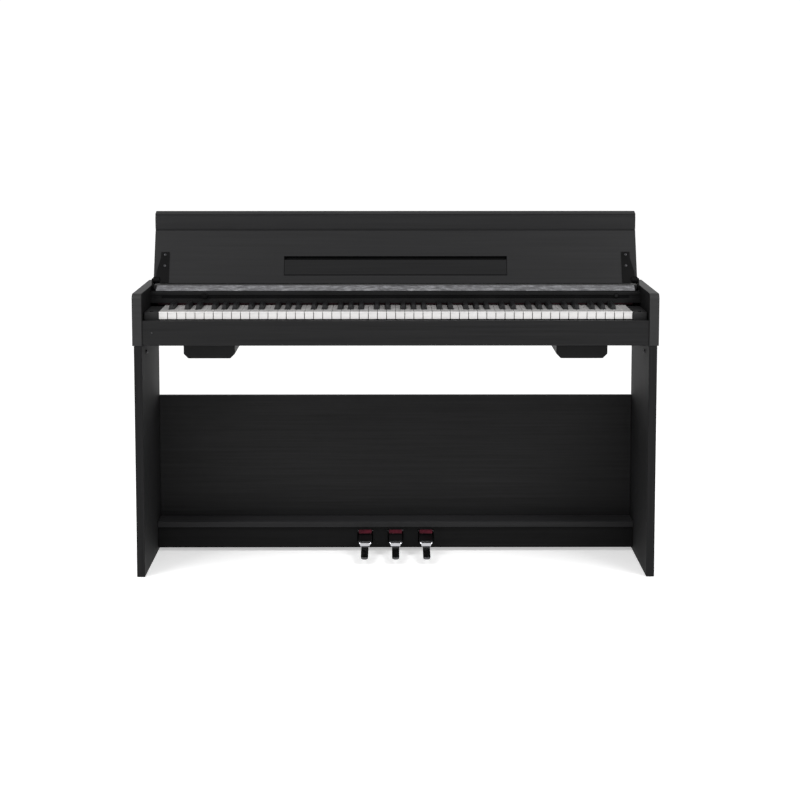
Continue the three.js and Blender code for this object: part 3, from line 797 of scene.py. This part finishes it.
def build_pedal(node):
    """A cast pedal: a broad shoulder whose round front drops to a slim, slowly falling finger."""
    low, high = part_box(node)
    x = (low.x + high.x) / 2
    tip, shoulder = low.y, low.y + 90 * MM
    finger, root, ease, step = 9.9 * MM, 19.0 * MM, 1.9 * MM, 13.0 * MM
    nail = (0.0, 0.15, 0.5, 1.1, 1.9, 3.0, 4.4, 6.2, 8.4, 9.9, 14, 22, 34, 48, 62, 76, 84)
    depths = [tip + d * MM for d in nail]
    depths += [shoulder + step * i / 14 for i in range(-2, 17)]
    rings = []
    for y in depths:
        along = max(0.0, y - tip) / (shoulder - tip)
        rise = quarter_round((y - shoulder) / step)
        top = (20.8 + 9.9 * along ** 1.1) * MM + 9.4 * MM * rise
        bottom = (14.4 + 9.9 * along ** 1.1) * MM + 3.0 * MM * rise
        wide = finger + (root - finger) * smooth_step((y - shoulder + 4 * MM) / step)
        narrow = finger + (wide - finger) * 0.1
        near = y - tip
        if near < finger:
            wide = narrow = max(0.5 * MM, finger * math.sqrt(max(0.0, 1 - (1 - near / finger) ** 2)))
            top -= ease * (1 - quarter_round(near / ease))
            bottom += ease * (1 - quarter_round(near / ease))
        rings.append(pedal_section(y, wide, narrow, bottom, top, ease, x))
    made = piece(f"{node}_casting", loft(bmesh.new(), rings), "chrome", node, 40.0)
    # The finger's faces take the darker metal: a painted dark reflection on the chrome.
    repaint(made, "painted_reflection", lambda middle, normal: middle.y < shoulder - 1 * MM)
    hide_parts(node)
    build_pedal_arm(node, x, depths[-1])


def build_pedal_arm(node, x, front):
    """The coated steel arm that runs from the back of the casting to the pivot under the shelf."""
    start = front - 0.5 * MM
    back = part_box(node)[1].y
    half = 18.4 * MM
    rings = []
    for share, top in ((0.0, 40.0), (0.5, 45.0), (0.56, 52.2), (0.62, 53.0), (1.0, 53.0)):
        y = start + (back - start) * share
        bottom = 31.0 + 6.0 * share
        rings.append(pedal_section(y, half, half, bottom * MM, top * MM, 1.6 * MM, x))
    piece(f"{node}_arm", loft(bmesh.new(), rings), "steel", node, 40.0)


def build_pedal_felts():
    """A pad of red felt fills the top of each slot, just above its pedal."""
    kick_low, kick_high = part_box("pedal_box_front")
    for node in ("soft_pedal", "sostenuto_pedal", "damper_pedal"):
        low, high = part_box(node)
        x = (low.x + high.x) / 2
        felt = bmesh.new()
        block(felt, (x - 17.5 * MM, kick_low.y - 0.8 * MM, SLOT_FELT_LOW),
              (x + 17.5 * MM, kick_high.y - 5 * MM, SLOT_FELT_HIGH), 1.6 * MM, 3)
        piece(f"{node}_felt", felt, "felt", "stand")


# ---------------------------------------------------------------- fasteners and small fittings
def screw(name, place, turn, body, radius=3.6 * MM, look="screw"):
    """A pan-head screw with a cross, painted dark as the shade of a cross recess. Its axis is Z before it is
    turned.
    """
    mesh = bmesh.new()
    height = radius * 0.55
    profile = [(radius, 0.0), (radius, height * 0.25), (radius * 0.93, height * 0.6),
               (radius * 0.74, height * 0.88), (radius * 0.45, height), (radius * 0.16, height)]
    turned(mesh, profile, (0, 0, 0), sides=28)
    for a in (0.0, math.pi / 2):
        part = bmesh.new()
        block(part, (-radius * 0.5, -radius * 0.1, height * 0.9), (radius * 0.5, radius * 0.1, height * 1.03))
        part.transform(Matrix.Rotation(a + 0.4, 4, "Z"))
        merge(mesh, part)
    mesh.transform(Matrix.Translation(place) @ turn)
    made = piece(name, mesh, look, body)
    # The cross takes the dark rubber look: painted shade standing for the cross recess.
    made.data.materials.append(LOOKS["rubber"])
    for face in made.data.polygons[-12:]:
        face.material_index = 1


def socket_bolt(name, place, turn, body):
    """A button-head bolt with a hexagon socket."""
    mesh = bmesh.new()
    round_rings = [(5.0, 0.0), (5.0, 1.6), (4.6, 2.8), (3.8, 3.5), (2.9, 3.8)]
    socket_rings = [(2.6, 3.8), (2.5, 1.6)]
    sides = 30
    rings = [circle(r * MM, h * MM, sides) for r, h in round_rings]
    for r, h in socket_rings:
        ring = circle(r * MM, h * MM, sides)
        for i, point in enumerate(ring):
            off_flat = 2 * math.pi * i / sides % (math.pi / 3) - math.pi / 6
            point.xy *= math.cos(math.pi / 6) / math.cos(off_flat)
        rings.append(ring)
    loft(mesh, rings)
    mesh.transform(Matrix.Translation(place) @ turn)
    return piece(name, mesh, "screw", body, 30.0)


def lid_matrix():
    """The lid's own frame: Z up its board, Y behind it, on the hinge axis."""
    joint = next(j for j in frame["joints"] if j["name"] == "lid_hinge")
    return Matrix.Translation(joint["pos_m"]) @ Matrix.Rotation(-LID_LEAN, 4, "X")


def build_fasteners():
    lid = lid_matrix()
    for word, side in SIDES.items():
        for i, height in enumerate(STRAP_SCREW_HEIGHTS):
            on_strap = lid @ Matrix.Translation((side * STRAP_MIDDLE, -STRAP_FACE, height))
            turn = on_strap.to_3x3().to_4x4() @ FACE_FRONT
            screw(f"{word}_strap_screw_{i + 1}", on_strap.translation, turn, "lid")
        inward = FACE_RIGHT if side < 0 else FACE_LEFT
        outward = FACE_LEFT if side < 0 else FACE_RIGHT
        barrel = [(8.2 * MM, 0.0), (9.0 * MM, 0.8 * MM), (9.0 * MM, 16.6 * MM), (8.2 * MM, 17.4 * MM)]
        place = (side * KNUCKLE_START, lid.translation.y, lid.translation.z)
        piece(f"{word}_hinge_knuckle", turned(bmesh.new(), barrel, place, outward, 32), "hinge", "lid", 40.0)
        low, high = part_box(f"{word}_leg_bolt")
        face = high.x - 4 * MM if side < 0 else low.x + 4 * MM
        middle = (low + high) / 2
        bolt = socket_bolt(f"{word}_leg_bolt_head", (face, middle.y, middle.z), inward, "stand")
        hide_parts(f"{word}_leg_bolt")
        socket_bolt(f"{word}_rear_leg_bolt", (face, REAR_LEG_BOLT_Y, middle.z), inward, "stand")
    build_rear_screws()


def build_rear_screws():
    back = cad_high.y
    case_low, case_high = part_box("rear_cover")
    for i in range(7):
        x = case_low.x + 0.03 + i * (case_high.x - case_low.x - 0.06) / 6
        for word, z in (("upper", case_high.z - 12 * MM), ("lower", case_low.z + 10 * MM)):
            name = f"rear_cover_screw_{i + 1}_{word}"
            screw(name, (x, back, z), FACE_BACK, "stand", REAR_SCREW_RADIUS, "steel")
    panel_low, panel_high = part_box("back_panel")
    for i in range(5):
        x = panel_low.x + 0.1 + i * (panel_high.x - panel_low.x - 0.2) / 4
        place = (x, back, BACK_PANEL_SCREW_Z)
        screw(f"back_panel_screw_{i + 1}", place, FACE_BACK, "stand", REAR_SCREW_RADIUS, "steel")


def build_bumpers():
    """A soft pad on each key block for the closed lid, and one tiny lamp on the key slip."""
    for word in SIDES:
        low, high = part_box(f"{word}_key_block")
        x = (low.x + high.x) / 2
        dome = [(5.0 * MM, -0.4 * MM), (5.0 * MM, 1.4 * MM), (4.0 * MM, 2.2 * MM), (1.5 * MM, 2.5 * MM)]
        pad = turned(bmesh.new(), dome, (x, low.y + 14 * MM, high.z))
        piece(f"{word}_key_block_pad", pad, "rubber", "stand", 50.0)
    slip_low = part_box("key_slip")[0]
    dome = [(2.2 * MM, -0.5 * MM), (2.2 * MM, 0.3 * MM), (1.6 * MM, 0.8 * MM), (0.6 * MM, 1.0 * MM)]
    lamp = turned(bmesh.new(), dome, (slip_low.x + 25 * MM, slip_low.y, LAMP_Z), FACE_FRONT, 20)
    piece("power_lamp", lamp, "screw", "stand", 50.0)


def build_controls():
    """A ribbed volume knob and a domed power button."""
    low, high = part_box("volume_knob")
    x, z = (low.x + high.x) / 2, (low.z + high.z) / 2
    radius = (high.x - low.x) / 2 - 0.3 * MM
    mesh = bmesh.new()
    sides = 96
    shape = [(0.80, 10.4), (0.97, 9.8), (1.0, 6.0), (1.0, 1.4), (0.92, 0.6), (0.80, 0.2), (0.35, 0.0)]
    rings = []
    for i, (share, forward) in enumerate(shape):
        rib = 0.035 if i in (1, 2, 3) else 0.0
        ring = []
        for s in range(sides):
            a = 2 * math.pi * s / sides
            r = radius * share * (1 - rib * (s % 4 < 2))
            ring.append((x + r * math.cos(a), low.y + forward * MM, z + r * math.sin(a)))
        rings.append(ring)
    knob = piece("volume_knob_cap", loft(mesh, rings), "gloss", "volume_knob", 25.0)
    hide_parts("volume_knob")
    mark = bmesh.new()
    block(mark, (x - 0.5 * MM, low.y - 0.25 * MM, z + 2.5 * MM),
          (x + 0.5 * MM, low.y + 0.4 * MM, z + 6.6 * MM), 0.2 * MM)
    piece("volume_knob_mark", mark, "rubber", "volume_knob")
    low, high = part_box("power_button")
    centre = ((low.x + high.x) / 2, low.y + 4 * MM, (low.z + high.z) / 2)
    dome = [(4.8 * MM, -4 * MM), (4.8 * MM, 2.6 * MM), (4.4 * MM, 3.4 * MM), (3.2 * MM, 3.8 * MM),
            (1.2 * MM, 3.95 * MM)]
    button = turned(bmesh.new(), dome, centre, FACE_FRONT, 36)
    made = piece("power_button_cap", button, "plastic", "power_button", 40.0)
    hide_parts("power_button")
    collar = bmesh.new()
    ring_piece(collar, (centre[0], low.y + 2.2 * MM, centre[2]), 5.4 * MM, 6.6 * MM, 1.6 * MM, FACE_FRONT)
    piece("power_button_collar", collar, "gloss", "stand", 40.0)


def ring_piece(mesh, place, inner, outer, thick, turn, sides=40):
    """A flat ring with eased edges, its axis along Z before it is turned."""
    ease = min(0.25 * thick, 0.3 * MM)
    section = [(inner, -thick / 2), (outer, -thick / 2), (outer, thick / 2 - ease), (outer - ease, thick / 2),
               (inner + ease, thick / 2), (inner, thick / 2 - ease)]
    matrix = Matrix.Translation(place) @ turn
    loops = []
    for i in range(sides):
        step = matrix @ Matrix.Rotation(2 * math.pi * i / sides, 4, "Z")
        loops.append([mesh.verts.new(step @ Vector((r, 0.0, h))) for r, h in section])
    for i in range(sides):
        here, there = loops[i], loops[(i + 1) % sides]
        for s in range(len(section)):
            t = (s + 1) % len(section)
            mesh.faces.new((here[s], there[s], there[t], here[t]))
    return mesh


# ---------------------------------------------------------------- speakers and rear connections
def build_speakers():
    for word in SIDES:
        node = f"{word}_speaker_box"
        finished_board(node, "plastic", 1.6 * MM, 3)
        keep_node(f"{word}_speaker_driver", "steel")
        low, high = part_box(node)
        middle = (low + high) / 2
        mesh = bmesh.new()
        for radius in (6, 13, 20, 27, 34):
            ring_piece(mesh, (middle.x, middle.y, low.z + 1.6 * MM), (radius - 1.2) * MM, (radius + 1.2) * MM,
                       1.6 * MM, FACE_DOWN)
        ring_piece(mesh, (middle.x, middle.y, low.z - 0.2 * MM), 37.5 * MM, 44 * MM, 1.8 * MM, FACE_DOWN, 64)
        for i in range(6):
            part = bmesh.new()
            block(part, (0.0, -1.1 * MM, 0.8 * MM), (39 * MM, 1.1 * MM, 3.0 * MM), 0.3 * MM)
            spoke = Matrix.Rotation(i * math.pi / 3, 4, "Z")
            part.transform(Matrix.Translation((middle.x, middle.y, low.z)) @ spoke)
            merge(mesh, part)
        piece(f"{word}_speaker_grille", mesh, "plastic", "stand", 40.0)


def build_rear_connections():
    finished_board("jack_panel", "plastic", 0.5 * MM)
    keep_node("power_inlet", "gloss")
    low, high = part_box("jack_panel")
    middle = (low.z + high.z) / 2
    for i, across in enumerate((20, 50, 90)):
        nut = bmesh.new()
        place = (low.x + across * MM, high.y + 0.8 * MM, middle)
        ring_piece(nut, place, 4.0 * MM, 6.4 * MM, 1.6 * MM, FACE_BACK, 36)
        piece(f"jack_nut_{i + 1}", nut, "zinc", "stand", 40.0)
    ring = bmesh.new()
    place = (low.x + 140 * MM, high.y + 0.5 * MM, middle)
    ring_piece(ring, place, 6.2 * MM, 8.2 * MM, 1.2 * MM, FACE_BACK, 36)
    piece("power_inlet_collar", ring, "gloss", "stand", 40.0)
    keep_node("main_circuit_board", "circuit")
    keep_node("key_frame", "plastic")
    keep_node("pedal_bracket", "steel")
    keep_node("pedal_pivot_rod", "zinc")


# ---------------------------------------------------------------- stage
def build_stage():
    mesh = bmesh.new()
    bmesh.ops.create_grid(mesh, x_segments=1, y_segments=1, size=400.0)
    data = bpy.data.meshes.new("floor")
    mesh.to_mesh(data)
    mesh.free()
    data.materials.append(floor_material())
    floor = bpy.data.objects.new("floor", data)
    bpy.context.scene.collection.objects.link(floor)
    floor.location.z = -0.0005
    build_sky()
    soft_light("overhead", (0.0, -0.6, 3.2), (0.0, 0.0, 0.4), 3.2, 22.0)
    for side in SIDES.values():
        soft_light("side", (side * 1.5, -1.1, 1.75), (side * 0.6, 0.1, 0.85), 0.8, 18.0)


def build_sky():
    """A white surround, bright at the horizon and dimmer overhead."""
    world = bpy.data.worlds.new("studio")
    bpy.context.scene.world = world
    world.use_nodes = True
    tree = world.node_tree
    background = tree.nodes["Background"]
    background.inputs["Color"].default_value = (1.0, 1.0, 1.0, 1)
    direction = tree.nodes.new("ShaderNodeTexCoord")
    parts = tree.nodes.new("ShaderNodeSeparateXYZ")
    span = tree.nodes.new("ShaderNodeMapRange")
    tree.links.new(direction.outputs["Generated"], parts.inputs["Vector"])
    tree.links.new(parts.outputs["Z"], span.inputs["Value"])
    for name, value in (("From Min", 0.12), ("From Max", 0.75), ("To Min", 1.06), ("To Max", 0.5)):
        span.inputs[name].default_value = value
    tree.links.new(span.outputs["Result"], background.inputs["Strength"])


def soft_light(name, place, target, size, power):
    data = bpy.data.lights.new(name, "AREA")
    data.size = size
    data.energy = power
    light = bpy.data.objects.new(name, data)
    light.location = place
    light.rotation_euler = (Vector(target) - Vector(place)).to_track_quat("-Z", "Y").to_euler()
    bpy.context.scene.collection.objects.link(light)


def build_camera():
    data = bpy.data.cameras.new("camera")
    data.lens = CAMERA_LENS
    data.shift_y = CAMERA_SHIFT_Y
    camera = bpy.data.objects.new("camera", data)
    camera.location = CAMERA_PLACE
    camera.rotation_euler = (math.pi / 2 - CAMERA_PITCH, 0.0, -CAMERA_YAW)
    bpy.context.scene.collection.objects.link(camera)
    bpy.context.scene.camera = camera


build_camera()
build_boards()
build_fascia()
build_lid()
build_keys()
for pedal in ("soft_pedal", "sostenuto_pedal", "damper_pedal"):
    build_pedal(pedal)
build_pedal_felts()
build_pedal_box_cover()
build_fasteners()
build_bumpers()
build_controls()
build_speakers()
build_rear_connections()
build_stage()
bpy.context.scene.view_settings.view_transform = "Standard"
